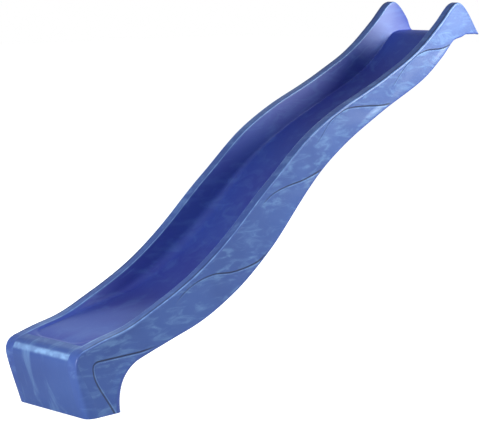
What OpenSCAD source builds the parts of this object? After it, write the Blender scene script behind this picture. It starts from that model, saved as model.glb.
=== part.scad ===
// Wave slide for a play tower, blow moulded as one hollow double-walled body and drawn
// here as its formed skins. +Z is up, X runs across the slide, and the slide goes down
// towards -Y. The origin is midway between the two fixing holes, on the deck's top face.

/* [Slide] */
// Height of the deck above the ground
deck_h = 1500; // [1200:10:1800]
// Length on the ground plan, from the rear edge to the front of the nose
slide_l = 2685; // [2200:5:3300]
// Width over the two outer walls
slide_w = 460; // [380:2:560]
// Height of the nose above the ground, where the rims run out
exit_h = 290; // [230:5:350]

/* [Chute] */
// Height of the side walls above the bed where they are tallest
wall_h = 164; // [130:1:200]
// Width of each rim
rim_w = 46; // [36:1:56]
// How far each inner wall leans in between rim and bed
wall_lean = 18; // [6:1:30]
// Depth of the side rails below the bed where they are deepest
rail_h = 131; // [100:1:160]

/* [Skins] */
// Thickness of the moulded skin
skin = 4; // [3:0.5:6]
// Thickness through both skins of the chute
double_t = 20; // [16:0.5:24]
// Half width of the recess between the side rails
recess_half = 150; // [120:1:158]

/* [Platform lip] */
// Length of the flat lip that lies on the deck
lip_l = 110; // [90:1:130]
// Thickness of the lip, where both skins are pinched together
lip_t = 12; // [10:0.5:16]
// Diameter of each fixing hole
hole_d = 9; // [6:0.5:12]
// Distance between the two fixing holes
hole_pitch = 240; // [160:5:280]
// Distance of the fixing holes from the rear edge
hole_setback = 55; // [40:1:70]

/* [Foot] */
// How far the foot reaches back from the nose at ground level
foot_l = 250; // [210:5:290]
// How far the front face leans back from nose to ground
front_lean = 63; // [30:1:80]

/* [Relief] */
// Depth of the wave lines in the outer walls
wave_d = 2; // [1:0.25:2.5]
// Width of the wave lines
wave_w = 5; // [3:0.5:8]
// Depth of the sunk panel on the foot
panel_d = 2; // [1:0.25:2.5]
// Number of cross channels pressed up from the underside
channel_n = 8; // [4:1:12]
// Width of a cross channel at its foot
channel_w = 46; // [30:1:60]
// Diameter of each blow hole in the underside
blow_d = 16; // [10:1:24]
// Thickness of a blow hole plug's flange
plug_flange = 2.5; // [1.5:0.5:4]
// How far the flange reaches past its hole
plug_rim = 4; // [2:0.5:6]

/* [Hidden] */
$fn = 48;

half_w = slide_w / 2;
rim_in = half_w - rim_w;
bed_half = rim_in - wall_lean;
ground = -deck_h;
drop = deck_h + lip_t - exit_h;
nose_run = 45;                     // run of the roll-over at the nose
nose_h = 60;                       // height of the roll-over at the nose
exit_s = slide_l - nose_run;       // where the rims and the bed run out
seat_gap = 0.5;                    // clearance above a cross channel
joint_gap = 0.3;                   // clearance where a skin lies against its neighbour
hot_blue = [0.20, 0.33, 0.70];
deep_blue = [0.17, 0.20, 0.58];
shade_blue = [0.15, 0.22, 0.50];

// Outlines are drawn as [distance from the rear edge, height above the deck].
// Run of the bed: percent of the way to the exit, percent of the drop.
BED = [[4.2, 0], [6, 0.2], [8, 1.6], [11.7, 8.5], [17, 16.4], [27.3, 26.2], [39.4, 37.6],
       [48.5, 49.1], [57.6, 65.1], [66.3, 78.9], [75.8, 89], [86.6, 94.4], [95.8, 97.8],
       [100, 100]];
// Side walls: percent of the way to the exit, percent of wall_h above the bed.
WALL = [[6.5, 93], [14.6, 91], [21.6, 79], [32, 75], [41.7, 84], [49, 92], [58.5, 100],
        [63, 97], [68.5, 82], [77, 55], [85, 25], [91, 5], [96, 1.2], [100, 0.8]];
// Side rails: percent of the way to the exit, percent of rail_h below the bed.
RAIL = [[6, 20], [27, 20], [32, 25], [38.5, 35], [44.7, 50], [51, 77], [57, 97], [61, 100],
        [72, 95], [79.5, 93], [85, 102], [88, 108]];

function part_of(p, s, i = 0) =
    i >= len(p) - 2 || s < p[i + 1][0] ? i : part_of(p, s, i + 1);
function fall(p, i) =
    let (a = p[max(i - 1, 0)], b = p[min(i + 1, len(p) - 1)]) (b[1] - a[1]) / (b[0] - a[0]);
// Smooth curve through the points of p, read at distance s
function curve(p, s) =
    let (i = part_of(p, s), h = p[i + 1][0] - p[i][0], t = (s - p[i][0]) / h)
    p[i][1] * (2 * t ^ 3 - 3 * t ^ 2 + 1) + h * fall(p, i) * (t ^ 3 - 2 * t ^ 2 + t)
    + p[i + 1][1] * (3 * t ^ 2 - 2 * t ^ 3) + h * fall(p, i + 1) * (t ^ 3 - t ^ 2);
// Point at share t of the curved line with end points p[0] and p[3]
function bow(p, t) =
    p[0] * (1 - t) ^ 3 + p[1] * 3 * t * (1 - t) ^ 2 + p[2] * 3 * t ^ 2 * (1 - t) + p[3] * t ^ 3;
function back(p) = [for (i = [len(p) - 1:-1:0]) p[i]];
function from(p, a, b) = [for (i = [a:b]) p[i]];

function pct(s) = 100 * s / exit_s;
function bed_z(s) = lip_t - (pct(s) <= BED[0][0] ? 0 : drop * curve(BED, pct(s)) / 100);
function rim_z(s) = bed_z(s) + wall_h * curve(WALL, pct(s)) / 100;
function bed_fall(s) = (bed_z(s + 5) - bed_z(s - 5)) / 10;
// The rails are never shallower than the double skin between them
function rail_z(s) = bed_z(s) - max(rail_h * curve(RAIL, pct(s)) / 100,
                                    (double_t + 2) * sqrt(1 + bed_fall(s) ^ 2));

function run(p, i) =
    let (d = p[min(i + 1, len(p) - 1)] - p[max(i - 1, 0)]) d / norm(d);
// Outline p moved in by depth t, which may be a list; level ends slide along the level
function inset(p, t, level_start = false, level_end = true) =
    [for (i = [0:len(p) - 1])
        let (d = run(p, i), k = is_list(t) ? t[i] : t)
        i == 0 && level_start || i == len(p) - 1 && level_end
            ? p[i] + [k / d[1], 0] : p[i] + k * [d[1], -d[0]]];

// Stations along the slide: the first stretch is the rear edge, up to the wall's peak
rear_n = 8;
chute_n = 62;
nose_n = 12;
peak_s = 0.065 * exit_s;
REAR = [[0, 0], [50, 62], [peak_s - 57, rim_z(peak_s) - 2], [peak_s, rim_z(peak_s)]];
STATIONS = [for (i = [1:chute_n]) peak_s + (exit_s - peak_s) * i / chute_n];
nose_z = ground + exit_h - nose_h;
NOSE_TOP = [[exit_s, ground + exit_h], [exit_s + 28, ground + exit_h - 7],
            [slide_l + 1, nose_z + 32], [slide_l, nose_z]];
NOSE_FRONT = [[slide_l, nose_z], [slide_l - 1, nose_z - 40],
              [slide_l - front_lean / 2, ground + 90], [slide_l - front_lean, ground]];
NOSE = concat([for (i = [1:nose_n / 2]) bow(NOSE_TOP, 2 * i / nose_n)],
              [for (i = [1:nose_n / 2]) bow(NOSE_FRONT, 2 * i / nose_n)]);
rear_steps = [for (i = [0:rear_n]) bow(REAR, i / rear_n)];

// Outer outline over the rear edge, the rim and the nose, and its inner face
RIM = concat(rear_steps, [for (s = STATIONS) [s, rim_z(s)]], NOSE);
RIM_IN = inset(RIM, skin, level_start = true);
// Top outline of the bed and the nose at the same stations
TOP = concat([for (p = rear_steps) [p[0], bed_z(p[0])]], [for (s = STATIONS) [s, bed_z(s)]],
             NOSE);
TOP_IN = inset(TOP, skin);
exit_i = rear_n + chute_n;         // index of the exit in these outlines
last_i = len(TOP) - 1;
// Where the bed and the rails divide into top, hump, steep and run-out lengths
DIVIDES = [0, 20, 35, 49, exit_i];

// Recess between the rails: it deepens from the lip to the full double skin
function recess_t(s) =
    let (t = min(max((s - lip_l) / 80, 0), 1)) lip_t + (double_t - lip_t) * t * t * (3 - 2 * t);
lip_i = len([for (p = TOP) if (p[0] < lip_l) 1]);
lip_end = [lip_l, lip_t];
TOP_FROM_LIP = concat([lip_end], from(TOP, lip_i, last_i));
RECESS = inset(TOP_FROM_LIP, [for (p = TOP_FROM_LIP) recess_t(p[0])]);
RECESS_IN = inset(TOP_FROM_LIP, [for (p = TOP_FROM_LIP) recess_t(p[0]) - skin]);
recess_exit = exit_i - lip_i + 1;
recess_last = len(RECESS) - 1;

// Bottom outline of a rail, down the back of the foot to the ground
heel_s = slide_l - foot_l;
heel_run = 110;                    // run of the hollow curve behind the foot
heel_top = heel_s - heel_run;
HEEL = [[heel_top, rail_z(heel_top)], [heel_s - 20, rail_z(heel_top) - 27],
        [heel_s + 15, ground + 110], [heel_s, ground]];
rail_start = [lip_l - 10, 0];
rail_n = 52;
heel_n = 10;
RAIL_RUN = [for (i = [1:rail_n - 1])
            let (s = rail_start[0] + (heel_top - rail_start[0]) * i / rail_n)
            [s, min(rail_z(s), 0)]];
rail_rear = [RIM_IN[0][0] + skin, 0];
SOLE_LINE = concat([rail_rear, rail_start], RAIL_RUN,
                   [for (i = [0:heel_n]) bow(HEEL, i / heel_n)]);
SOLE_IN = inset(SOLE_LINE, -skin);
sole_back = SOLE_IN[len(SOLE_IN) - 1][0];

// Wave lines on the outer walls, each from the rail's lower edge up and over
WAVE_TOP = [[102, -2], [166, -17], [232, -44], [302, -62], [436, -71], [546, -112],
            [620, -169], [680, -227], [714, -246]];
WAVE_HUMP = [[700, -313], [764, -318], [914, -315], [1030, -323], [1131, -368], [1196, -434],
             [1250, -486]];
WAVE_STEEP = [[1190, -588], [1312, -626], [1436, -648], [1526, -674], [1615, -727]];
WAVE_LOW = [[1532, -918], [1630, -969], [1776, -993], [1904, -990], [2014, -1015],
            [2097, -1059], [2144, -1101]];
WAVES = [WAVE_TOP, WAVE_HUMP, WAVE_STEEP, WAVE_LOW];
// The waves keep their place on the wall when the slide's length or height changes
WAVE_L = 2640;
WAVE_DROP = 1222;
function on_wall(p) =
    let (s = p[0] * exit_s / WAVE_L) [s, (p[1] - lip_t) * drop / WAVE_DROP + lip_t];
function resampled(p, n) =
    [for (i = [0:n])
        let (s = p[0][0] + (p[len(p) - 1][0] - p[0][0]) * i / n) on_wall([s, curve(p, s)])];

// Closed ribbon between an outline and its inset
module ribbon(outer, inner) {
    polygon(concat(outer, back(inner)));
}

// Pulls an outline across the slide, from x_low to x_high
module across(x_low, x_high) {
    translate([x_high, hole_setback, 0])
        rotate([90, 0, -90])
            linear_extrude(x_high - x_low)
                children();
}

module on_side(side) {
    if (side > 0) children();
    else mirror([1, 0, 0]) children();
}

module fixing_holes() {
    for (side = [-1, 1])
        translate([side * hole_pitch / 2, 0, -1])
            cylinder(d = hole_d, h = lip_t + 2);
}

// One length of the top skin that the child slides on
module bed(k) {
    color(deep_blue)
        difference() {
            across(-bed_half, bed_half)
                ribbon(from(TOP, DIVIDES[k], DIVIDES[k + 1]),
                       from(TOP_IN, DIVIDES[k], DIVIDES[k + 1]));
            if (k == 0) fixing_holes();
        }
}

// Leaning skin between the bed and the rim
module inner_wall(side) {
    first = 1;
    count = exit_i - first + 1;
    function at(x, p) = [x, hole_setback - p[0], p[1]];
    points = [for (i = [first:exit_i])
        each [at(bed_half, TOP[i]), at(bed_half, TOP_IN[i]), at(bed_half + skin, TOP_IN[i]),
              at(rim_in + skin, RIM_IN[i]), at(rim_in, RIM_IN[i]), at(rim_in, RIM[i])]];
    ring = 6;
    sides = [for (i = [0:count - 2], k = [0:ring - 1])
        let (a = i * ring + k, b = i * ring + (k + 1) % ring)
        each [[a, b, b + ring], [a, b + ring, a + ring]]];
    start = [for (k = [1:ring - 2]) [0, k + 1, k]];
    last = (count - 1) * ring;
    end = [for (k = [1:ring - 2]) [last, last + k, last + k + 1]];
    color(shade_blue)
        on_side(side)
            polyhedron(points, concat(sides, start, end));
}

// Strip of the top skin along the edge of a wall, between two stations
module edge_strip(side, i_from, i_to, tint) {
    color(tint)
        on_side(side)
            across(rim_in, half_w)
                ribbon(from(RIM, i_from, i_to), from(RIM_IN, i_from, i_to));
}

module rim(side) {
    edge_strip(side, rear_n, exit_i, hot_blue);
}

module rear_edge(side) {
    edge_strip(side, 0, rear_n, hot_blue);
}

module nose_corner(side) {
    edge_strip(side, exit_i, last_i, hot_blue);
}

// Flat outline of an outer wall, inside the edge strip
module wall_outline() {
    polygon(concat(RIM_IN, back(SOLE_LINE)));
}

// A wave line: a narrow ribbon that thins out at its upper end
module wave_line(p) {
    n = 20;
    pts = resampled(p, n);
    half = [for (i = [0:n]) let (d = run(pts, i)) wave_w / 2 * (1 - 0.8 * i / n) * [-d[1], d[0]]];
    polygon(concat([for (i = [0:n]) pts[i] + half[i]], [for (i = [n:-1:0]) pts[i] - half[i]]));
}

// Sunk panel on the foot, with a round upper corner
module foot_panel() {
    top = nose_z + 6;
    front = slide_l - 2 * nose_run;
    corner_r = 35;
    corner = [[front - corner_r, top], [front - corner_r / 4, top],
              [front + corner_r / 12, top - corner_r / 3], [front, top - corner_r]];
    edge = [[front, top - corner_r], [front - 4, top - 95], [front - 64, top - 150],
            [front - 116, ground - 1]];
    rear = heel_s - 2.4 * heel_run;
    intersection() {
        wall_outline();
        polygon(concat([[rear, ground - 1], [rear, top + 20], [rear + 160, top + 3]],
                       [for (t = [0:0.2:1]) bow(corner, t)],
                       [for (t = [0.125:0.125:1]) bow(edge, t)]));
    }
}

// Side skin with the wave lines and the foot panel sunk into it
module outer_wall(side) {
    color(hot_blue)
        on_side(side)
            difference() {
                across(half_w - skin, half_w) wall_outline();
                across(half_w - wave_d, half_w + 1)
                    for (p = WAVES) wave_line(p);
                across(half_w - panel_d, half_w + 1) foot_panel();
            }
}

// Lower skin of a side rail, down the back of the foot
module rail_base(side) {
    color(shade_blue)
        on_side(side)
            across(recess_half + skin, half_w - skin)
                ribbon(SOLE_LINE, SOLE_IN);
}

// One length of the upright skin between the recess and a side rail
module rail_side(side, k) {
    lip_top = lip_t - skin - joint_gap;
    from_s = k == 0 ? -1 : TOP[DIVIDES[k]][0];
    to_s = k == 3 ? slide_l : TOP[DIVIDES[k + 1]][0];
    color(shade_blue)
        on_side(side)
            across(recess_half, recess_half + skin)
                intersection() {
                    polygon(concat([[0, 0], [0, lip_top], [lip_l - joint_gap, lip_top]],
                                   RECESS_IN, back(SOLE_LINE)));
                    translate([from_s, ground - 1])
                        square([to_s - from_s, deck_h + lip_t]);
                }
}

// Lower skin of the lip, which lies on the deck
module lip_base() {
    color(hot_blue)
        difference() {
            across(-recess_half, recess_half)
                square([lip_l - 2 * joint_gap, lip_t - skin - joint_gap]);
            fixing_holes();
        }
}

// Where the cross channels lie, evenly along the chute
channel_from = 0.16 * exit_s;
channel_to = 0.88 * exit_s;
CHANNELS = [for (i = [0:channel_n - 1])
            channel_from + (channel_to - channel_from) * i / (channel_n - 1)];

// Point at distance x down the slope from station s, at a depth under the bed
function under_bed(s, x, depth) =
    let (d = [1, bed_fall(s)] / sqrt(1 + bed_fall(s) ^ 2))
    [s, bed_z(s)] + x * d + depth * [d[1], -d[0]];
// Cross channel: the lower skin pressed up until it backs the bed
function channel(s, depth, top, wider) =
    let (foot = channel_w / 2 + wider, head = channel_w / 3 + wider)
    [under_bed(s, -foot, depth), under_bed(s, -head, top), under_bed(s, head, top),
     under_bed(s, foot, depth)];
function between(p, a, b) = [for (q = p) if (q[0] > a && q[0] < b) q];
// Line of the lower skin along the recess, broken by the channels
function pan_line(p, depth, top, wider) =
    let (clear = channel_w / 2 + 2 * wider + 8,
         mid = [for (s = CHANNELS) under_bed(s, 0, depth)[0]])
    [for (k = [0:channel_n])
        each concat(between(p, k == 0 ? 0 : mid[k - 1] + clear,
                            k == channel_n ? slide_l : mid[k] - clear),
                    k == channel_n ? [] : channel(CHANNELS[k], depth, top, wider))];

function blow_s(upper) = (CHANNELS[upper ? 1 : channel_n - 2] + CHANNELS[upper ? 2 : channel_n - 1]) / 2;

module at_blow_hole(upper) {
    s = blow_s(upper);
    translate([0, hole_setback - s, bed_z(s)])
        rotate([-atan(bed_fall(s)), 0, 0])
            translate([0, 0, -double_t])
                children();
}

// Lower skin between the rails, with its cross channels and two blow holes
module underside_pan() {
    web = skin + seat_gap;
    color(shade_blue)
        difference() {
            across(-recess_half, recess_half)
                ribbon(pan_line(from(RECESS, 0, recess_exit), double_t, web + skin, 0),
                       pan_line(from(RECESS_IN, 0, recess_exit), double_t - skin, web, skin * 0.6));
            for (upper = [true, false])
                at_blow_hole(upper)
                    translate([0, 0, -skin])
                        cylinder(d = blow_d, h = 3 * skin);
        }
}

// Front face, rolled over from the bed's exit down to the ground
module nose_apron() {
    color(hot_blue)
        across(-rim_in, rim_in)
            ribbon(from(TOP, exit_i, last_i), from(TOP_IN, exit_i, last_i));
}

// Inner skin of the front, between the feet
module apron_back() {
    color(shade_blue)
        across(-recess_half, recess_half)
            ribbon(from(RECESS, recess_exit, recess_last), from(RECESS_IN, recess_exit, recess_last));
}

// Strip that closes the front along the ground, between the feet
module apron_sole() {
    back_s = RECESS_IN[recess_last][0] + 2;
    front_s = TOP_IN[last_i][0];
    color(shade_blue)
        across(-recess_half, recess_half)
            translate([back_s, ground])
                square([front_s - back_s, skin]);
}

// Bottom of a foot, which stands on the ground
module foot_sole(side) {
    front_s = RIM_IN[last_i][0];
    color(shade_blue)
        on_side(side)
            across(recess_half + skin, half_w - skin)
                translate([sole_back + 1, ground])
                    square([front_s - sole_back - 1, skin]);
}

// Push-in plug that closes a blow hole
module blow_hole_plug(upper) {
    color("black")
        at_blow_hole(upper) {
            translate([0, 0, -plug_flange - joint_gap])
                cylinder(d = blow_d + 2 * plug_rim, h = plug_flange);
            translate([0, 0, -joint_gap])
                cylinder(d = blow_d - 2 * joint_gap, h = skin + plug_flange);
        }
}

bed(0);  // bed_top
bed(1);  // bed_hump
bed(2);  // bed_steep
bed(3);  // bed_run_out
inner_wall(1);  // inner_wall_left
inner_wall(-1);  // inner_wall_right
rim(1);  // rim_left
rim(-1);  // rim_right
rear_edge(1);  // rear_edge_left
rear_edge(-1);  // rear_edge_right
nose_corner(1);  // nose_corner_left
nose_corner(-1);  // nose_corner_right
outer_wall(1);  // outer_wall_left
outer_wall(-1);  // outer_wall_right
rail_base(1);  // rail_base_left
rail_base(-1);  // rail_base_right
rail_side(1, 0);  // rail_side_left_top
rail_side(1, 1);  // rail_side_left_hump
rail_side(1, 2);  // rail_side_left_steep
rail_side(1, 3);  // rail_side_left_foot
rail_side(-1, 0);  // rail_side_right_top
rail_side(-1, 1);  // rail_side_right_hump
rail_side(-1, 2);  // rail_side_right_steep
rail_side(-1, 3);  // rail_side_right_foot
lip_base();
underside_pan();
nose_apron();
apron_back();
apron_sole();
foot_sole(1);  // foot_sole_left
foot_sole(-1);  // foot_sole_right
blow_hole_plug(true);  // blow_hole_plug_upper
blow_hole_plug(false);  // blow_hole_plug_lower
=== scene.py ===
import math

import bmesh
import bpy
from mathutils import Matrix, Vector, noise


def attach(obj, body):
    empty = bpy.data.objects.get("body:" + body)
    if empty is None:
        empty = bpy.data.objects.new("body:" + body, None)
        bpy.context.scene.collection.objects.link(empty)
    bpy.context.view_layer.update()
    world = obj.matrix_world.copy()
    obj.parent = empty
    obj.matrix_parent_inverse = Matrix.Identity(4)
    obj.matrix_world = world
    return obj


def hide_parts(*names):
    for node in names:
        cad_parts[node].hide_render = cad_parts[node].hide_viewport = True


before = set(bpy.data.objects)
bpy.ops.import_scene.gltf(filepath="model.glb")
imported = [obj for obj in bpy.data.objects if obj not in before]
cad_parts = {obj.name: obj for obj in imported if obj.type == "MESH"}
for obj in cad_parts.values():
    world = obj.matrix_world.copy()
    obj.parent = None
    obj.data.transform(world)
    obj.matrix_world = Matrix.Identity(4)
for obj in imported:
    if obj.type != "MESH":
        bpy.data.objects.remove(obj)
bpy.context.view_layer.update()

# Chute liner: the bed that the child slides on and the two walls that lean over it.
# It is the top skin of one hollow blow moulding in high-density polyethylene, with a
# soft fillet between wall and bed, and two holes drilled through the lip.
SETBACK = 0.055                    # fixing holes to rear edge, so y = SETBACK - distance
GROUND = -1.5
LIP_T = 0.012
LENGTH = 2.685
EXIT = 2.640                       # where the rims and the bed run out
DROP = 1.222
WALL_H = 0.164
RIM_IN = 0.184                     # inner edge of each rim
BED_HALF = 0.166
SKIN = 0.004
# percent of the way to the exit, percent of the drop
BED = [(4.2, 0), (6, 0.2), (8, 1.6), (11.7, 8.5), (17, 16.4), (27.3, 26.2), (39.4, 37.6),
       (48.5, 49.1), (57.6, 65.1), (66.3, 78.9), (75.8, 89), (86.6, 94.4), (95.8, 97.8),
       (100, 100)]
# percent of the way to the exit, percent of the wall's full height
WALL = [(6.5, 93), (14.6, 91), (21.6, 79), (32, 75), (41.7, 84), (49, 92), (58.5, 100),
        (63, 97), (68.5, 82), (77, 55), (85, 25), (91, 5), (96, 1.2), (100, 0.8)]
# distance from the rear edge, how far the fillet reaches up the wall and over the bed
FILLET = [(0, 0.006), (1.05, 0.009), (1.35, 0.030), (1.60, 0.048), (1.90, 0.042),
          (2.15, 0.018), (2.45, 0.010), (2.70, 0.010)]


def smooth_run(points, at):
    """Height at a distance on the smooth curve through the points."""
    i = 0
    while i < len(points) - 2 and at >= points[i + 1][0]:
        i += 1

    def fall(k):
        a, b = points[max(k - 1, 0)], points[min(k + 1, len(points) - 1)]
        return (b[1] - a[1]) / (b[0] - a[0])

    (x0, z0), (x1, z1) = points[i], points[i + 1]
    h = x1 - x0
    t = (at - x0) / h
    return (z0 * (2 * t**3 - 3 * t**2 + 1) + h * fall(i) * (t**3 - 2 * t**2 + t)
            + z1 * (3 * t**2 - 2 * t**3) + h * fall(i + 1) * (t**3 - t**2))


def bow(p, t):
    """Point at share t of the curved line whose ends are p[0] and p[3]."""
    a, b, c, d = (Vector(q) for q in p)
    return a * (1 - t)**3 + b * 3 * t * (1 - t)**2 + c * 3 * t**2 * (1 - t) + d * t**3


def ease(x, low, high):
    t = min(max((x - low) / (high - low), 0), 1)
    return t * t * (3 - 2 * t)


def bed_z(s):
    pct = 100 * s / EXIT
    return LIP_T - (0 if pct <= BED[0][0] else DROP * smooth_run(BED, pct) / 100)


def rim_z(s):
    return bed_z(s) + WALL_H * smooth_run(WALL, 100 * s / EXIT) / 100


def bed_fall(s):
    return (bed_z(s + 0.005) - bed_z(s - 0.005)) / 0.01


# Stations along the slide, each a point [distance from the rear edge, height]: up the
# rear edge, down the chute, over the nose and down the front to the ground.
REAR_N, CHUTE_N, TOP_N, FRONT_N = 40, 400, 16, 40
peak = 0.065 * EXIT
NOSE_Z = -1.270
REAR = [(0, 0), (0.050, 0.062), (peak - 0.057, rim_z(peak) - 0.002), (peak, rim_z(peak))]
NOSE_TOP = [(EXIT, -1.210), (2.668, -1.217), (2.686, -1.238), (LENGTH, NOSE_Z)]
NOSE_FRONT = [(LENGTH, NOSE_Z), (2.684, -1.310), (2.6535, -1.410), (2.622, GROUND)]
rear = [bow(REAR, i / REAR_N) for i in range(REAR_N + 1)]
chute = [peak + (EXIT - peak) * i / CHUTE_N for i in range(1, CHUTE_N + 1)]
nose = ([bow(NOSE_TOP, i / TOP_N) for i in range(1, TOP_N + 1)]
        + [bow(NOSE_FRONT, i / FRONT_N) for i in range(1, FRONT_N + 1)])
LIP_ROUND = 0.008


def lip_top(s):
    """The bed's height, with the lip's rear edge rounded over."""
    gone = max(LIP_ROUND - s, 0)
    return bed_z(s) - LIP_ROUND + math.sqrt(LIP_ROUND**2 - gone**2)


rim_line = [Vector((0, 0))] + rear + [Vector((s, rim_z(s))) for s in chute] + nose
top_line = ([Vector((0, 0))] + [Vector((p.x, lip_top(p.x))) for p in rear]
            + [Vector((s, bed_z(s))) for s in chute] + nose)
exit_i = 1 + REAR_N + CHUTE_N
last_i = len(rim_line) - 1


def inward(line, i, side=1):
    """Direction from an outline into the body; it stays level at the two ends."""
    d = (line[min(i + 1, last_i)] - line[max(i - 1, 0)]).normalized()
    if i in (0, 1, last_i) and abs(d.y) > 0.3:
        return Vector((side / d.y, 0))
    return Vector((d.y, -d.x)) * side


def place(x, p):
    """A point of an outline as one in the body, this far from the middle."""
    return Vector((x, SETBACK - p.x, max(p.y, 0) if p.x < 0.1 else p.y))


def turn(corner, a, b, n):
    """Rounded corner from corner + a to corner + b."""
    return [corner + a * (1 - k / n)**2 + b * (k / n)**2 for k in range(n + 1)]


def between(a, b, n):
    """Points between a and b, without the two ends."""
    return [a.lerp(b, k / n) for k in range(1, n)]


FLARE = 0.028                      # how far the walls turn outwards at the rear edge


def wall_foot_and_head(i):
    """The corner between bed and wall, and the one between wall and rim."""
    s = top_line[i].x
    flare = FLARE * (1 - ease(s, 0.0, 0.060)) if i < exit_i else 0
    return place(BED_HALF + flare * 0.6, top_line[i]), place(RIM_IN + flare, rim_line[i])


STRIP = 0.0015                     # flat strip that each skin keeps at its joints
X = Vector((1, 0, 0))


def head_reach(wall):
    """How far the corner between wall and rim is rounded."""
    return min(0.006, 0.4 * wall.length)


def liner_reach(wall):
    """How far below the wall's head the liner meets the rim."""
    return head_reach(wall) + min(STRIP, 0.05 * wall.length)


DISH_D = 0.0055
DISH_HALF = 0.174
DISH_END = 2.606
DISH_CORNER = 0.085                # radius that its two front corners are rounded to


def run_out_dish(x, s):
    """How far the bed lies below the rims that turn and join across the nose."""
    dx, ds = abs(x) - (DISH_HALF - DISH_CORNER), s - (DISH_END - DISH_CORNER)
    inside = DISH_CORNER - (math.hypot(dx, ds) if dx > 0 and ds > 0 else max(dx, ds))
    return DISH_D * ease(inside, 0, 0.012) * ease(s, 2.28, 2.48)


def chute_ring(i):
    """Half a ring of the liner, from the middle of the bed up to the rim."""
    foot, head = wall_foot_and_head(i)
    wall = head - foot
    up = wall.normalized() if wall.length > 1e-6 else X
    reach = min(smooth_run(FILLET, top_line[i].x), 0.45 * wall.length)
    middle = place(0, top_line[i])
    end = head - up * liner_reach(wall)
    start = foot - X * reach
    half = ([middle] + between(middle, start, 14) + turn(foot, -X * reach, up * reach, 8)
            + between(foot + up * reach, end, 14) + [end])
    for p in half:
        p.z -= run_out_dish(p.x, SETBACK - p.y)
    return half


def both_halves(half):
    """A whole ring from its half, which starts in the middle."""
    return [Vector((-p.x, p.y, p.z)) for p in reversed(half[1:])] + half


def lay_skin(rings, out, wear_and_painted_light=None):
    """A moulded skin laid over rings of points, one ring for each station. Its attribute is above
    zero where it is rubbed pale and where a highlight is painted, below zero where shade is
    painted."""
    bm = bmesh.new()
    across, along = len(rings[0]) - 1, len(rings) - 1
    bmesh.ops.create_grid(bm, x_segments=across, y_segments=along, size=1)
    wear_and_light_level = bm.verts.layers.float.new("wear_and_painted_light")
    for v in bm.verts:
        i, k = round((v.co.y + 1) / 2 * along), round((v.co.x + 1) / 2 * across)
        v.co = rings[i][k]
        v[wear_and_light_level] = wear_and_painted_light[i][k] if wear_and_painted_light else 0
    bm.faces.ensure_lookup_table()
    bm.normal_update()
    if sum(f.normal.dot(out(f.calc_center_median())) * f.calc_area() for f in bm.faces) < 0:
        bmesh.ops.reverse_faces(bm, faces=bm.faces)
    bmesh.ops.remove_doubles(bm, verts=bm.verts, dist=3e-5)
    bmesh.ops.dissolve_degenerate(bm, edges=bm.edges, dist=1e-5)
    return bm


def finish_piece(name, bm, finish, nodes, thick=SKIN):
    """Gives the skin its wall, its finish and its place on the frame."""
    if thick:
        bmesh.ops.solidify(bm, geom=bm.faces[:], thickness=thick)
        for v in bm.verts:
            v.co.y = min(v.co.y, SETBACK)
            v.co.z = max(v.co.z, GROUND)
    for f in bm.faces:
        f.smooth = True
    for e in bm.edges:
        e.smooth = e.calc_face_angle(0) < math.radians(40)
    mesh = bpy.data.meshes.new(name)
    bm.to_mesh(mesh)
    bm.free()
    piece = bpy.data.objects.new(name, mesh)
    bpy.context.scene.collection.objects.link(piece)
    mesh.materials.append(finish)
    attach(piece, "root")
    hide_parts(*nodes)


def node(tree, kind, inputs=None, **settings):
    """Adds a shader node, with its inputs set or linked."""
    made = tree.nodes.new("ShaderNode" + kind)
    for key, value in settings.items():
        setattr(made, key, value)
    for key, value in (inputs or {}).items():
        if isinstance(value, bpy.types.NodeSocket):
            tree.links.new(value, made.inputs[key])
        else:
            made.inputs[key].default_value = value
    return made


def effect(name, inputs, outputs):
    """An empty shader group with named inputs and outputs."""
    group = bpy.data.node_groups.new(name, "ShaderNodeTree")
    for key, kind, value in inputs:
        socket = group.interface.new_socket(key, in_out="INPUT", socket_type="NodeSocket" + kind)
        socket.default_value = value
    for key, kind in outputs:
        group.interface.new_socket(key, in_out="OUTPUT", socket_type="NodeSocket" + kind)
    return group, group.nodes.new("NodeGroupInput"), group.nodes.new("NodeGroupOutput")


def span(tree, value, low, high, out_low=0.0, out_high=1.0):
    """Reads a value between low and high as out_low to out_high, smoothly."""
    made = node(tree, "MapRange", {"Value": value, "From Min": low, "From Max": high,
                                   "To Min": out_low, "To Max": out_high})
    made.interpolation_type = "SMOOTHSTEP"
    return made.outputs["Result"]


def product(tree, a, b):
    return node(tree, "Math", {0: a, 1: b}, operation="MULTIPLY").outputs[0]


def total(tree, a, b):
    return node(tree, "Math", {0: a, 1: b}, operation="ADD").outputs[0]


def mixed(tree, share, a, b):
    """Colour a, turned into colour b by the share."""
    made = node(tree, "Mix", data_type="RGBA")
    for key, value in (("Factor", share), ("A", a), ("B", b)):
        socket = next(s for s in made.inputs if s.name == key
                      and s.type == ("VALUE" if key == "Factor" else "RGBA"))
        if isinstance(value, bpy.types.NodeSocket):
            tree.links.new(value, socket)
        else:
            socket.default_value = value
    return next(s for s in made.outputs if s.type == "RGBA")


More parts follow.
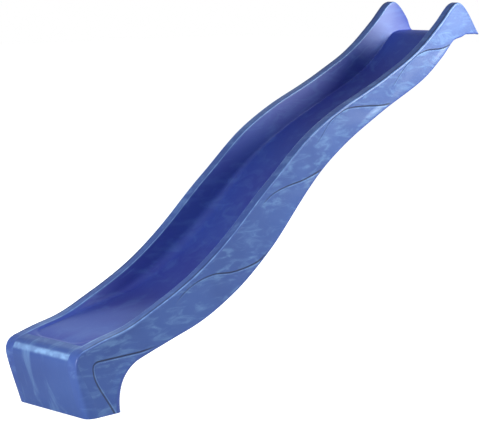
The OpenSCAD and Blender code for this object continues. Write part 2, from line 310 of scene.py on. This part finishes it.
# Pale cloudy streaks that the stretched plastic keeps from the mould
flow_marks, given, out = effect("flow_marks", [
    ("Base", "Color", (0, 0, 0, 1)), ("Pale", "Color", (1, 1, 1, 1)),
    ("Deep", "Color", (0, 0, 0, 1)), ("Amount", "Float", 0.5),
    ("Stretch", "Vector", (9, 3.2, 13))], [("Color", "Color")])
where = node(flow_marks, "TexCoord").outputs["Object"]
along = node(flow_marks, "Mapping", {"Vector": where, "Rotation": (0.46, 0, 0),
                                     "Scale": given.outputs["Stretch"]}).outputs["Vector"]
cloud = node(flow_marks, "TexNoise", {"Vector": along, "Scale": 1.3, "Detail": 6.0,
                                      "Roughness": 0.58, "Distortion": 0.9})
slow = node(flow_marks, "TexNoise", {"Vector": where, "Scale": 2.4, "Detail": 2.0})
streak = product(flow_marks, span(flow_marks, cloud.outputs[0], 0.46, 0.74),
                 given.outputs["Amount"])
shade = span(flow_marks, slow.outputs[0], 0.62, 0.38, 0.0, 0.6)
deepened = mixed(flow_marks, shade, given.outputs["Base"], given.outputs["Deep"])
flow_marks.links.new(mixed(flow_marks, streak, deepened, given.outputs["Pale"]),
                     out.inputs["Color"])

# Fine etched grain of the mould, a slight orange peel and a slow waviness
mould_grain, given, out = effect("mould_grain", [
    ("Grain", "Float", 0.3), ("Peel", "Float", 0.3), ("Wave", "Float", 1.0)],
    [("Height", "Float")])
where = node(mould_grain, "TexCoord").outputs["Object"]
height = 0.0
for key, scale, detail, tall in (("Grain", 1100, 2.0, 0.00006), ("Peel", 130, 2.0, 0.00025),
                                 ("Wave", 11, 1.5, 0.0016)):
    ripple = node(mould_grain, "TexNoise", {"Vector": where, "Scale": scale, "Detail": detail})
    part = product(mould_grain, product(mould_grain, ripple.outputs[0], given.outputs[key]), tall)
    height = total(mould_grain, height, part)
mould_grain.links.new(height, out.inputs["Height"])

# Long fine scratches in the way the slide is ridden
ride_scuffs, given, out = effect("ride_scuffs", [("Amount", "Float", 0.5)], [("Mask", "Float")])
where = node(ride_scuffs, "TexCoord").outputs["Object"]
long_way = node(ride_scuffs, "Mapping", {"Vector": where, "Scale": (260, 4, 5)})
fine = node(ride_scuffs, "TexNoise", {"Vector": long_way.outputs[0], "Scale": 1.0, "Detail": 3.0})
patch = node(ride_scuffs, "TexNoise", {"Vector": where, "Scale": 7.0, "Detail": 2.0})
scratched = product(ride_scuffs, span(ride_scuffs, fine.outputs[0], 0.58, 0.70),
                    span(ride_scuffs, patch.outputs[0], 0.42, 0.62))
ride_scuffs.links.new(product(ride_scuffs, scratched, given.outputs["Amount"]),
                      out.inputs["Mask"])

# Pale edges, partly rubbed by hands and shoes and partly a painted highlight, and painted shade
# along the walls' moulded edges and the rims, from the skin's own attribute
edge_rub_and_painted_light, given, out = effect("edge_rub_and_painted_light", [("Amount", "Float", 0.5)],
                                 [("Mask", "Float"), ("Painted_Shade", "Float")])
where = node(edge_rub_and_painted_light, "TexCoord").outputs["Object"]
wear_and_light_level = node(edge_rub_and_painted_light, "Attribute", attribute_name="wear_and_painted_light").outputs["Fac"]
ragged = node(edge_rub_and_painted_light, "TexNoise", {"Vector": where, "Scale": 24.0, "Detail": 5.0})
rubbed_and_highlit = product(edge_rub_and_painted_light, span(edge_rub_and_painted_light, wear_and_light_level, 0.0, 1.0),
                 span(edge_rub_and_painted_light, ragged.outputs[0], 0.40, 0.66, 0.45, 1.0))
edge_rub_and_painted_light.links.new(product(edge_rub_and_painted_light, rubbed_and_highlit, given.outputs["Amount"]), out.inputs["Mask"])
edge_rub_and_painted_light.links.new(span(edge_rub_and_painted_light, wear_and_light_level, 0.0, -1.0, 0.0, 0.85), out.inputs["Painted_Shade"])


def group_node(tree, group, inputs):
    made = node(tree, "Group")
    made.node_tree = group
    for key, value in inputs.items():
        made.inputs[key].default_value = value
    return made


def new_finish(name):
    """A new material, its node tree and its shader."""
    finish = bpy.data.materials.new(name)
    finish.use_nodes = True
    return finish, finish.node_tree, finish.node_tree.nodes["Principled BSDF"]


def add_grain(tree, shader, grain):
    """Gives the shader the mould's grain as fine relief."""
    relief = group_node(tree, mould_grain, grain)
    bump = node(tree, "Bump", {"Height": relief.outputs["Height"], "Strength": 1.0,
                               "Distance": 1.0})
    tree.links.new(bump.outputs["Normal"], shader.inputs["Normal"])


def polyethylene(name, base, pale, deep, amount, rough, grain, scuffs, rub_and_highlight,
                 stretch=(9, 4.2, 15)):
    """Blue moulded polyethylene with its flow marks, grain, scuffs and rubbed edges, with painted
    highlights and painted shade.
    """
    finish, tree, shader = new_finish(name)
    marks = group_node(tree, flow_marks, {"Base": (*base, 1), "Pale": (*pale, 1),
                                          "Deep": (*deep, 1), "Amount": amount,
                                          "Stretch": stretch})
    scratch = group_node(tree, ride_scuffs, {"Amount": scuffs})
    edge = group_node(tree, edge_rub_and_painted_light, {"Amount": rub_and_highlight})
    # pale colour for rubbed edges and painted highlights, dark colour for painted shade
    rubbed_and_highlit, painted_shade_colour = [c * 1.25 + 0.04 for c in pale], [c * 0.22 for c in deep]
    colour = mixed(tree, scratch.outputs["Mask"], marks.outputs["Color"], (*pale, 1))
    colour = mixed(tree, edge.outputs["Mask"], colour, (*rubbed_and_highlit, 1))
    colour = mixed(tree, edge.outputs["Painted_Shade"], colour, (*painted_shade_colour, 1))
    tree.links.new(colour, shader.inputs["Base Color"])
    dulled = product(tree, scratch.outputs["Mask"], 0.22)
    tree.links.new(total(tree, dulled, rough), shader.inputs["Roughness"])
    add_grain(tree, shader, grain)
    shader.inputs["IOR"].default_value = 1.54
    return finish


bed_blue = polyethylene("bed_polyethylene", (0.028, 0.058, 0.320), (0.08, 0.17, 0.45),
                        (0.024, 0.032, 0.270), 0.30, 0.50,
                        {"Grain": 0.25, "Peel": 0.25, "Wave": 0.5}, 0.3, 0.0)

cut_i = min(i for i in range(len(top_line)) if top_line[i].x > DISH_END)
chute_skin = lay_skin([both_halves(chute_ring(i)) for i in range(cut_i + 1)],
                      lambda p: Vector((0, 0, 1)))
HOLE_X = 0.120
HOLE_R = 0.0045
HOLE_EASED = 0.0055                # where the drill's edge is broken
for side in (-1, 1):
    hole = Vector((side * HOLE_X, 0))
    near = [f for f in chute_skin.faces if (f.calc_center_median().xy - hole).length < 0.009]
    bmesh.ops.delete(chute_skin, geom=near, context="FACES")
    edge = [e for e in chute_skin.edges if e.is_boundary
            and all((v.co.xy - hole).length < 0.025 for v in e.verts)]
    for radius, z in ((HOLE_EASED, LIP_T), (HOLE_R, LIP_T - 0.001), (HOLE_R, 0)):
        made = bmesh.ops.extrude_edge_only(chute_skin, edges=edge)["geom"]
        points = [g for g in made if isinstance(g, bmesh.types.BMVert)]
        edge = [g for g in made if isinstance(g, bmesh.types.BMEdge)
                and all(v in points for v in g.verts)]
        for v in points:
            v.co = (*(hole + (v.co.xy - hole).normalized() * radius), z)
finish_piece("chute_liner", chute_skin, bed_blue,
             ["bed_top", "bed_hump", "bed_steep", "bed_run_out",
              "inner_wall_left", "inner_wall_right"])

# Nose front: the last of the bed, rolled over the nose and down to the ground.
# Moulded in one with the rims, which turn and join across it above the front face.
front_blue = polyethylene("front_polyethylene", (0.045, 0.098, 0.315), (0.16, 0.30, 0.53),
                          (0.030, 0.066, 0.250), 0.50, 0.43,
                          {"Grain": 0.6, "Peel": 0.5, "Wave": 1.0}, 0.1, 0.9, (13, 6, 2.6))
front_rings = [both_halves(chute_ring(i)) for i in range(cut_i, last_i + 1)]
# A band over the front's top edge, rubbed pale by feet and painted as a highlight
scuff_and_highlight = [ease(i, exit_i + 5, exit_i + 9) * (1 - ease(i, exit_i + 10, exit_i + 14))
           for i in range(cut_i, last_i + 1)]
nose_skin = lay_skin(front_rings, lambda p: Vector((0, -0.7, 0.7)),
                     [[rub_and_highlight] * len(front_rings[0]) for rub_and_highlight in scuff_and_highlight])
finish_piece("nose_front", nose_skin, front_blue, ["nose_apron"])

# Rims: the rounded edges that hands hold, from the rear edge over the walls to the nose.
# Each turns down into an outer wall, and at the nose it becomes the front's corner.
HALF_W = 0.230
RAIL_H = 0.131
DOUBLE = 0.020                     # through both skins of the chute
# percent of the way to the exit, percent of the rail's height below the bed
RAIL = [(6, 20), (27, 20), (32, 25), (38.5, 35), (44.7, 50), (51, 77), (57, 97), (61, 100),
        (72, 95), (79.5, 93), (85, 102), (88, 108)]


def rail_z(s):
    deep = max(RAIL_H * smooth_run(RAIL, 100 * s / EXIT) / 100,
               (DOUBLE + 0.002) * math.sqrt(1 + bed_fall(s)**2))
    return min(bed_z(s) - deep, 0) * ease(s, 0.095, 0.150)


# Bottom outline of the rails, down the hollow back of the foot to the ground. Its
# stations pair with the rim's: straight below it first, then fanned round the foot.
HEEL_TOP = 2.325
HEEL = [(HEEL_TOP, rail_z(HEEL_TOP)), (2.415, rail_z(HEEL_TOP) - 0.027), (2.450, -1.390),
        (2.435, GROUND)]
FAN = 1.75


def measured(points):
    """The points of a line with how far along it each one lies."""
    far, found = 0, []
    for k, p in enumerate(points):
        far += (p - points[k - 1]).length if k else 0
        found.append((far, p))
    return found


fan_i = min(i for i in range(last_i) if rim_line[i].x > FAN)
fan_s = rim_line[fan_i].x
steps = 200
rail_end = measured([Vector((fan_s + (HEEL_TOP - fan_s) * k / steps,
                             rail_z(fan_s + (HEEL_TOP - fan_s) * k / steps)))
                     for k in range(steps)] + [bow(HEEL, k / steps) for k in range(steps + 1)])
rim_end = measured(rim_line[fan_i:])


def on_line(line, share):
    far = share * line[-1][0]
    for (a, p), (b, q) in zip(line, line[1:]):
        if far <= b:
            return p.lerp(q, (far - a) / (b - a))
    return line[-1][1].copy()


sole_line = ([Vector((p.x, rail_z(p.x))) for p in rim_line[:fan_i]]
             + [on_line(rail_end, far / rim_end[-1][0]) for far, _ in rim_end])
nose_share = [ease(i, exit_i + 8, last_i) for i in range(last_i + 1)]


TALL_WALL = 0.09                   # past this, a wall leaves its edges squarely


def wall_height(i):
    return (rim_line[i] - sole_line[i]).length


def into_wall(i, from_rim):
    """Direction from the rim, or from the rail's bottom edge, into the outer wall."""
    square = inward(rim_line, i) if from_rim else inward(sole_line, i, -1)
    if wall_height(i) > TALL_WALL:
        return square
    other = (sole_line[i] - rim_line[i]) * (1 if from_rim else -1)
    straight = other.normalized() if wall_height(i) > 1e-5 else Vector((0, -1 if from_rim else 1))
    return straight.lerp(square, ease(wall_height(i), 0.03, TALL_WALL)).normalized()


def spread(v):
    """A direction on an outline as one in the body."""
    return Vector((0, -v.x, v.y))


def rim_reach(i):
    """How far the rim's outer corner reaches down the wall, and in over the rim."""
    wall, grow = wall_height(i), nose_share[i]
    return min(0.008 + 0.044 * grow, 0.4 * wall), min(0.008 + 0.028 * grow, 0.4 * wall + 0.001)


def past_corner(reach):
    """A rounded corner's reach and the flat strip beside it."""
    return reach + min(STRIP, 0.1 * reach)


def rim_ring(i):
    foot, head = wall_foot_and_head(i)
    wall = head - foot
    up = wall.normalized() if wall.length > 1e-6 else X
    inner = head_reach(wall)
    outer = place(HALF_W, rim_line[i])
    down, over = rim_reach(i)
    to_body = spread(into_wall(i, True))
    a = turn(head, -up * inner, X * inner, 6)
    b = turn(outer, -X * over, to_body * down, 10)
    return ([head - up * liner_reach(wall)] + a + between(a[-1], b[0], 6) + b
            + [outer + to_body * past_corner(down)])


def left_and_right(ring):
    """The same ring on both sides: +X is the rider's left."""
    return {"left": ring, "right": [Vector((-p.x, p.y, p.z)) for p in ring]}


def rim_wear_and_light(i):
    """Both corners are rubbed pale and carry a painted highlight; painted shade runs inside the
    outer one, deepest at the ends.
    """
    s, fade = rim_line[i].x, 1 - ease(i, exit_i - 10, exit_i + 12)
    shade_line = -fade * (1 - 0.85 * ease(s, 0.80, 1.05) * (1 - ease(s, 1.70, 2.00)))
    return ([fade * rub_and_highlight for rub_and_highlight in (0, 0.1, 0.4, 0.8, 0.7, 0.4, 0.1)]
            + [0, 0, 0, 0, 0, 0.5 * shade_line, 0.8 * shade_line, 0.3 * shade_line]
            + [fade * rub_and_highlight for rub_and_highlight in (0.3, 0.8, 1, 0.9, 0.5, 0.2, 0.05, 0, 0, 0)])


rim_blue = polyethylene("rim_polyethylene", (0.045, 0.098, 0.330), (0.16, 0.30, 0.58),
                        (0.034, 0.070, 0.280), 0.35, 0.43,
                        {"Grain": 0.4, "Peel": 0.4, "Wave": 0.6}, 0.05, 0.75)
for side in ("left", "right"):
    rings = [left_and_right(rim_ring(i))[side] for i in range(last_i + 1)]
    skin = lay_skin(rings, lambda p: Vector((0, -0.2, 1)),
                    [rim_wear_and_light(i) for i in range(last_i + 1)])
    finish_piece("rim_skin_" + side, skin, rim_blue,
                 ["rim_" + side, "rear_edge_" + side, "nose_corner_" + side])

# Outer walls: the tall sides, with four raised waves that lap over each other and a sunk
# panel on the foot. Blow moulded against a textured mould, so they are matt and cloudy.
WAVE_D = 0.0038
WAVE_FADE = 0.090                  # the wall is level again this far below a wave
# each wave's line in millimetres: distance from the rear edge, height
WAVES = [
    [(102, -2), (166, -17), (232, -44), (302, -62), (436, -71), (546, -112), (620, -169),
     (680, -227), (714, -246)],
    [(700, -313), (764, -318), (914, -315), (1030, -323), (1131, -368), (1196, -434),
     (1250, -486)],
    [(1190, -588), (1312, -626), (1436, -648), (1526, -674), (1615, -727)],
    [(1532, -918), (1630, -969), (1776, -993), (1904, -990), (2014, -1015), (2097, -1059),
     (2144, -1101)]]
PANEL_D = 0.0030
PANEL_FADE = 9                     # further than the panel is tall, so it stays sunk
PANEL = ([Vector((2.171, -1.244)), Vector((2.331, -1.261))]
         + [bow([(2.560, -1.264), (2.586, -1.264), (2.598, -1.276), (2.595, -1.299)], k / 6)
            for k in range(7)]
         + [bow([(2.595, -1.299), (2.591, -1.359), (2.531, -1.414), (2.479, -1.501)], k / 8)
            for k in range(1, 9)])


def moulded_edges(s, z):
    """How far a point of the wall lies below each moulded edge near it, how strong the
    edge is there, how deep its step is, and how far below it the wall is level again."""
    found = []
    for wave in WAVES:
        first, end = wave[0][0] / 1000, wave[-1][0] / 1000
        if first < s < end:
            line = smooth_run(wave, s * 1000) / 1000
            fall = (smooth_run(wave, s * 1000 + 4) - smooth_run(wave, s * 1000 - 4)) / 8
            strong = (ease(s, first, first + 0.012) * (1 - 0.5 * ease(s, first, end))
                      * (1 - ease(s, end - 0.06, end)))
            found.append(((line - z) / math.sqrt(1 + fall * fall), strong, WAVE_D, WAVE_FADE))
    if s > 2.17 and z < -1.235:
        p, nearest, inside = Vector((s, z)), 1, False
        for a, b in zip(PANEL, PANEL[1:]):
            ab = b - a
            t = min(max((p - a).dot(ab) / ab.length_squared, 0), 1)
            far = (p - a.lerp(b, t)).length
            if far < nearest:
                nearest, inside = far, ab.x * (z - a.y) - ab.y * (s - a.x) < 0
        found.append((nearest if inside else -nearest, ease(s, 2.18, 2.36), PANEL_D,
                      PANEL_FADE))
    return found


def sunk(edges):
    """How far the wall is sunk below the edges above it."""
    return max((deep * strong * ease(below, -0.0005, 0.0040)
                * (1 - 0.94 * ease(below, 0.006, level))
                for below, strong, deep, level in edges), default=0)


def painted_edge_shading(edges):
    """Painted shadow under each edge, and a thin painted highlight under that shadow."""
    wear_and_painted_light = 0
    for below, strong, _, _ in edges:
        wide = 0.0030 + 0.0030 * strong
        wear_and_painted_light -= min(1.2 * strong, 1) * (1 - ease(abs(below - 0.001), 0.3 * wide, wide))
        wear_and_painted_light += 0.90 * strong * (1 - ease(abs(below - 0.003 - wide), 0.0010, 0.0032))
    return wear_and_painted_light


def row_places(a, b, rows):
    """Shares of the way down the wall, closer together beside a moulded edge."""
    parts, far = 120, [0.0]
    for k in range(parts):
        p = a.lerp(b, (k + 0.5) / parts)
        far.append(far[-1] + 1 + sum(6 * min(2 * strong, 1) * (1 - ease(abs(below), 0.004, 0.014))
                                     for below, strong, _, _ in moulded_edges(p.x, p.y)))
    places, k = [], 0
    for row in range(rows + 1):
        goal = far[-1] * row / rows
        while k < parts - 1 and far[k + 1] < goal:
            k += 1
        places.append((k + (goal - far[k]) / (far[k + 1] - far[k])) / parts)
    return places


def rail_reach(i):
    return min(0.009 + 0.022 * ease(i, exit_i - 10, last_i), 0.4 * wall_height(i))


def wall_ring(i, rows=74):
    """One ring of an outer wall, and the painted shadow and highlight at its points."""
    top, bottom = rim_line[i], sole_line[i]
    down, _ = rim_reach(i)
    up = rail_reach(i)
    a = top + into_wall(i, True) * past_corner(down)
    b = bottom + into_wall(i, False) * past_corner(up)
    ring, wear_and_painted_light = [], []
    for share in row_places(a, b, rows):
        p = a.lerp(b, share)
        edges = moulded_edges(p.x, p.y)
        tall = (a - b).length
        flat = ease(share * tall, 0.001, 0.010) * ease((1 - share) * tall, 0.001, 0.042)
        wobble = noise.noise(Vector((p.x * 7, p.y * 11, 0.5))) + 0.4
        ring.append(place(HALF_W - flat * (sunk(edges) + 0.0007 * max(wobble, 0)), p))
        # painted shadow and highlight along each wave's edge and the panel's
        wear_and_painted_light.append(painted_edge_shading(edges))
    return ring, wear_and_painted_light


wall_blue = polyethylene("wall_polyethylene", (0.043, 0.096, 0.325), (0.16, 0.30, 0.54),
                         (0.028, 0.066, 0.260), 0.50, 0.46,
                         {"Grain": 0.8, "Peel": 0.7, "Wave": 1.0}, 0.05, 0.6, (13, 6.5, 21))
walls = [wall_ring(i) for i in range(last_i + 1)]
for side in ("left", "right"):
    skin = lay_skin([left_and_right(ring)[side] for ring, wear_and_painted_light in walls],
                    lambda p: Vector((p.x, 0, 0)), [wear_and_painted_light for ring, wear_and_painted_light in walls])
    finish_piece("wall_skin_" + side, skin, wall_blue, ["outer_wall_" + side])

# Side rails: the hollow legs under the two walls, down the back of the foot.
# Their lower edge is rounded, and their inner side stands up to the double skin.
RECESS_HALF = 0.150
FOLD = 0.006                       # rounding where a rail meets the double skin
LIP_END = 0.110                    # where the lip rests on the deck's edge


def recess_t(s):
    """Through both skins, which part from the lip's thickness behind it."""
    return LIP_T + (DOUBLE - LIP_T) * ease(s, LIP_END, LIP_END + 0.080)


recess_line = [Vector((p.x, 0)) if p.x < LIP_END else p + inward(top_line, i) * recess_t(p.x)
               for i, p in enumerate(top_line)]


def fold_reach(height):
    return min(FOLD, 0.3 * height)


def rail_ring(i):
    sole, recess = sole_line[i], recess_line[i]
    height = (recess - sole).length
    rise = spread(recess - sole).normalized() if height > 1e-4 else Vector((0, 0, 1))
    into = spread(into_wall(i, False))
    up = rail_reach(i)
    over = min(up, 0.03)
    inner = min(0.008, 0.4 * height)
    fold = fold_reach(height)
    outer, edge = place(HALF_W, sole), place(RECESS_HALF, sole)
    corner = place(RECESS_HALF, recess)
    a = turn(outer, into * up, -X * over, 8)
    b = turn(edge, X * inner, rise * inner, 6)
    c = turn(corner, -rise * fold, -X * fold, 5)
    return ([outer + into * past_corner(up)] + a + between(a[-1], b[0], 6) + b
            + between(b[-1], c[0], 8) + c + [corner - X * (fold + min(STRIP, fold))])


under_blue = polyethylene("underside_polyethylene", (0.040, 0.084, 0.350), (0.12, 0.20, 0.50),
                          (0.032, 0.064, 0.280), 0.3, 0.48,
                          {"Grain": 0.9, "Peel": 0.6, "Wave": 1.0}, 0.0, 0.2)
rail_rings = [rail_ring(i) for i in range(last_i + 1)]
for side in ("left", "right"):
    rings = [left_and_right(ring)[side] for ring in rail_rings]
    skin = lay_skin(rings, lambda p: Vector((0, 0.3, -1)))
    finish_piece("rail_skin_" + side, skin, under_blue,
                 ["rail_base_" + side] + [f"rail_side_{side}_{k}"
                                          for k in ("top", "hump", "steep", "foot")])

# Underside: the lower skin between the rails, pressed up against the bed in eight cross
# channels that stiffen it, and carried down inside the front to the ground.
CHANNELS = [EXIT * (0.16 + 0.72 * k / 7) for k in range(8)]    # evenly down the chute
CHANNEL_D = 0.0112
CHANNEL_HALF = (0.013, 0.025)      # half its width, at its top and at its foot
CHANNEL_ENDS = (0.112, 0.134)      # from the middle to its ends, at its top and at its foot


def channel_lift(x, s):
    """How far a cross channel stands up towards the bed."""
    slope = math.sqrt(1 + bed_fall(s)**2)
    near = min(abs(s - c) for c in CHANNELS) * slope
    return CHANNEL_D * (1 - ease(near, *CHANNEL_HALF)) * (1 - ease(abs(x), *CHANNEL_ENDS))


def pan_ring(i):
    recess = recess_line[i]
    fold = fold_reach((recess - sole_line[i]).length)
    end = RECESS_HALF - fold - min(STRIP, fold)
    back = spread(inward(top_line, i)) * -1
    half = []
    for k in range(25):
        x = end * k / 24
        lift = channel_lift(x, recess.x) if i < exit_i - 20 else 0
        half.append(place(x, recess) + back * lift)
    return both_halves(half)


lip_i = min(i for i in range(last_i) if top_line[i].x >= LIP_END)
pan = lay_skin([pan_ring(i) for i in range(lip_i, last_i + 1)],
               lambda p: Vector((0, 0.3, -1)))
finish_piece("underside_skin", pan, under_blue,
             ["underside_pan", "apron_back"])

# Lip base: the lower skin of the lip, pinched to the bed where the deck's screws go through.
# It keeps the frame's shape and takes the finish of the underside, which it is part of.
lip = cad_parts["lip_base"]
lip.data.materials.clear()
lip.data.materials.append(under_blue)

# Sole: the flat strip that closes both feet and the front along the ground.
# It is where the mould's two halves pinch the plastic shut.
sole = bmesh.new()
right_half = (chute_ring(last_i) + rim_ring(last_i) + wall_ring(last_i, 12)[0]
              + rail_ring(last_i) + [place((RECESS_HALF - FOLD - STRIP) * k / 6,
                                           recess_line[last_i]) for k in range(6, -1, -1)])
corners = [sole.verts.new((p.x, p.y, GROUND)) for p in right_half]
corners += [sole.verts.new((-p.x, p.y, GROUND)) for p in reversed(right_half)]
edge = [sole.edges.new((a, b)) for a, b in zip(corners, corners[1:] + corners[:1])]
bmesh.ops.remove_doubles(sole, verts=sole.verts, dist=3e-5)
bmesh.ops.triangle_fill(sole, edges=sole.edges, use_beauty=True, normal=(0, 0, -1))
bmesh.ops.recalc_face_normals(sole, faces=sole.faces)
if sum(f.normal.z for f in sole.faces) > 0:
    bmesh.ops.reverse_faces(sole, faces=sole.faces)
finish_piece("ground_sole", sole, under_blue,
             ["apron_sole", "foot_sole_left", "foot_sole_right"])

# Blow hole plugs: black push-in caps that close the two holes where the air went in.
# Moulded polyethylene, domed, with a dimple in the middle from their own gate.
plug_black, tree, shader = new_finish("plug_polyethylene")
speck = node(tree, "TexNoise", {"Vector": node(tree, "TexCoord").outputs["Object"],
                                "Scale": 260.0, "Detail": 3.0})
tree.links.new(mixed(tree, span(tree, speck.outputs[0], 0.4, 0.7), (0.018, 0.018, 0.020, 1),
                     (0.055, 0.055, 0.058, 1)), shader.inputs["Base Color"])
tree.links.new(span(tree, speck.outputs[0], 0.3, 0.7, 0.38, 0.55), shader.inputs["Roughness"])
add_grain(tree, shader, {"Grain": 0.8, "Peel": 0.3, "Wave": 0.0})
# half the plug's outline: radius, height above the lower skin's outer face
PLUG = [(0.0, -0.0020), (0.0022, -0.0021), (0.0030, -0.0027), (0.0075, -0.0027),
        (0.0105, -0.0022), (0.0119, -0.0012), (0.0119, -0.0004), (0.0112, -0.0003),
        (0.0076, -0.0003), (0.0076, 0.0060), (0.0, 0.0060)]
for name, a, b in (("upper", 1, 2), ("lower", 6, 7)):
    s = (CHANNELS[a] + CHANNELS[b]) / 2
    put = (Matrix.Translation((0, SETBACK - s, bed_z(s)))
           @ Matrix.Rotation(-math.atan(bed_fall(s)), 4, "X")
           @ Matrix.Translation((0, 0, -DOUBLE)))
    plug = bmesh.new()
    line = [plug.verts.new((r, 0, z)) for r, z in PLUG]
    for p, q in zip(line, line[1:]):
        plug.edges.new((p, q))
    bmesh.ops.spin(plug, geom=plug.verts[:] + plug.edges[:], axis=(0, 0, 1), cent=(0, 0, 0),
                   angle=2 * math.pi, steps=48, use_merge=True)
    bmesh.ops.remove_doubles(plug, verts=plug.verts, dist=1e-5)
    bmesh.ops.recalc_face_normals(plug, faces=plug.faces)
    bmesh.ops.transform(plug, matrix=put, verts=plug.verts)
    finish_piece("plug_" + name, plug, plug_black, ["blow_hole_plug_" + name],
                 thick=0)

# Floor and studio: a plain pale floor, an even room and soft round lamps.
# The camera sees floor and room as white, but they light the slide much less than that.
floor_mesh = bmesh.new()
bmesh.ops.create_grid(floor_mesh, x_segments=1, y_segments=1, size=30)
bmesh.ops.translate(floor_mesh, vec=(0, 0, GROUND - 0.0005), verts=floor_mesh.verts)
data = bpy.data.meshes.new("floor")
floor_mesh.to_mesh(data)
floor_mesh.free()
floor = bpy.data.objects.new("floor", data)
bpy.context.scene.collection.objects.link(floor)
floor_finish, tree, shader = new_finish("pale_floor")
shader.inputs["Base Color"].default_value = (0.50, 0.50, 0.51, 1)
shader.inputs["Roughness"].default_value = 0.9
shader.inputs["Emission Color"].default_value = (1, 1, 1, 1)
glow = product(tree, node(tree, "LightPath").outputs["Is Camera Ray"], 0.92)
tree.links.new(glow, shader.inputs["Emission Strength"])
data.materials.append(floor_finish)

world = bpy.data.worlds.new("studio")
bpy.context.scene.world = world
world.use_nodes = True
room = world.node_tree
lit = room.nodes["Background"]
lit.inputs["Color"].default_value = (0.92, 0.95, 1.0, 1)
lit.inputs["Strength"].default_value = 0.31
seen = node(room, "Background", {"Color": (1, 1, 1, 1), "Strength": 1.0})
choice = node(room, "MixShader", {0: node(room, "LightPath").outputs["Is Camera Ray"]})
room.links.new(lit.outputs[0], choice.inputs[1])
room.links.new(seen.outputs[0], choice.inputs[2])
room.links.new(choice.outputs[0], room.nodes["World Output"].inputs["Surface"])


def lamp(name, at, to, size, power, tint):
    """A soft round lamp at one point, turned to another."""
    light = bpy.data.lights.new(name, "AREA")
    light.color = tint
    light.shape = "DISK"
    light.size = size
    light.energy = power
    made = bpy.data.objects.new(name, light)
    made.location = at
    made.rotation_euler = (Vector(to) - Vector(at)).to_track_quat("-Z", "Y").to_euler()
    bpy.context.scene.collection.objects.link(made)
    return made


lamp("key", (2.5, 1.5, 1.0), (0.1, -0.7, -0.2), 1.5, 205, (0.86, 0.98, 1.0))
lamp("sheen", (2.3, 2.4, 0.2), (0.1, -0.4, 0.0), 1.2, 16, (0.90, 1.0, 1.0))
lamp("front", (0.9, -6.0, 0.2), (0, -2.4, -1.2), 1.6, 165, (1, 1, 1))
lamp("back", (-4.4, 1.4, 1.3), (0, -2.2, -1.2), 2.4, 26, (0.72, 0.95, 1.0))
fill = lamp("fill", (-3.6, -1.7, -0.5), (-0.2, -1.2, -0.7), 2.2, 125, (0.9, 0.98, 1.0))
fill.visible_glossy = False        # it isn't mirrored along the rims

camera_data = bpy.data.cameras.new("camera")
camera_data.lens = 124.65
camera_data.sensor_width = 36
camera = bpy.data.objects.new("camera", camera_data)
camera.location = (5.2295, -6.851, 0.2835)
camera.rotation_euler = (math.radians(90 - 8.036), 0, math.radians(44.064))
bpy.context.scene.collection.objects.link(camera)
bpy.context.scene.camera = camera
bpy.context.scene.view_settings.view_transform = "Standard"
